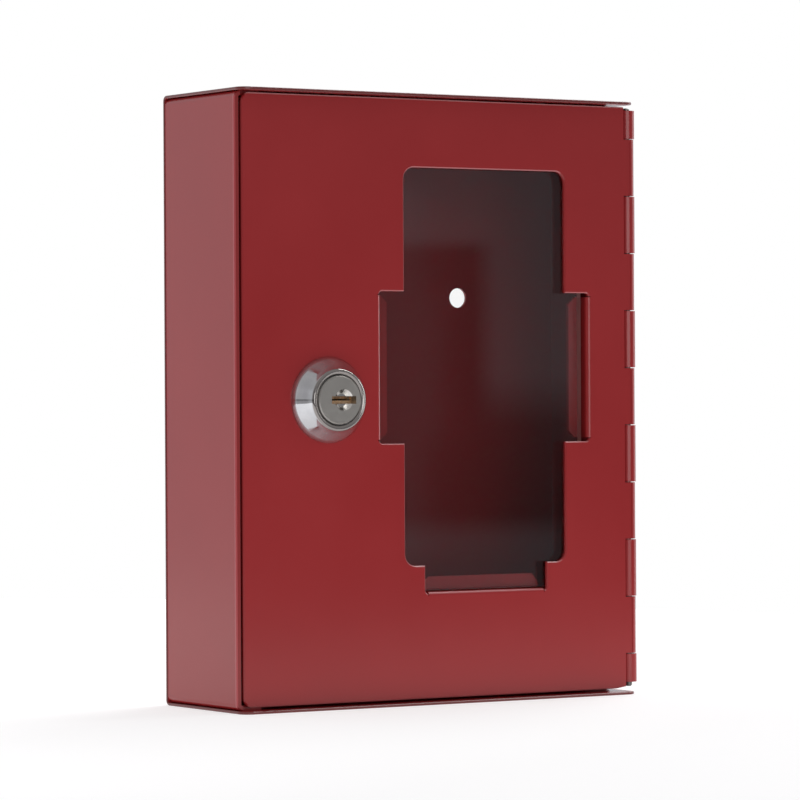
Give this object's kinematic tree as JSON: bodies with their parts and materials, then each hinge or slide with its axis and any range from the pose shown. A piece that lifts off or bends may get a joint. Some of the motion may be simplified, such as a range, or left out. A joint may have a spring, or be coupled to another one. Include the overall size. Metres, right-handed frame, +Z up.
{
  "type": "break glass key box",
  "caption": "Wall-mounted sheet steel key box with a glazed front door on a rolled hinge and a quarter-turn cam lock.",
  "frame": {"origin": "middle of the bottom plate's underside", "axes": "+Z up, -Y out of the door, +X towards the hinge"},
  "size_m": [0.1223, 0.0416, 0.155],
  "materials": {
    "red_paint": "semi-gloss red powder coat",
    "clear_glass": "clear float glass",
    "chrome_plate": "bright chrome plate on a zinc casting",
    "satin_nickel": "satin nickel plate",
    "zinc_steel": "bright zinc plate",
    "wafer_brass": "stamped brass"
  },
  "bodies": {
    "case": {"case_shell": "red_paint", "left_wall": "red_paint", "right_wall": "red_paint", "hinge_pin": "red_paint", "strike_bracket": "red_paint", "key_hook": "red_paint"},
    "door": {"door_leaf": "red_paint", "glass_pane": "clear_glass", "lock_housing": "chrome_plate", "lock_washer": "zinc_steel", "lock_nut": "zinc_steel"},
    "plug": {"lock_plug": "satin_nickel", "wafer_1": "wafer_brass", "wafer_2": "wafer_brass", "wafer_3": "wafer_brass", "wafer_4": "wafer_brass", "wafer_5": "wafer_brass", "stop_washer": "zinc_steel", "lock_cam": "zinc_steel", "cam_washer": "zinc_steel", "cam_screw": "zinc_steel"}
  },
  "joints": [
    {"name": "door_hinge", "type": "hinge", "parent": "case", "child": "door", "pos_m": [0.06045, -0.01422, 0.078], "axis": [0, 0, 1], "range_deg": [0, 180]},
    {"name": "lock_turn", "type": "hinge", "parent": "door", "child": "plug", "pos_m": [-0.0327, -0.01605, 0.0775], "axis": [0, 1, 0], "range_deg": [0, 90]}
  ]
}
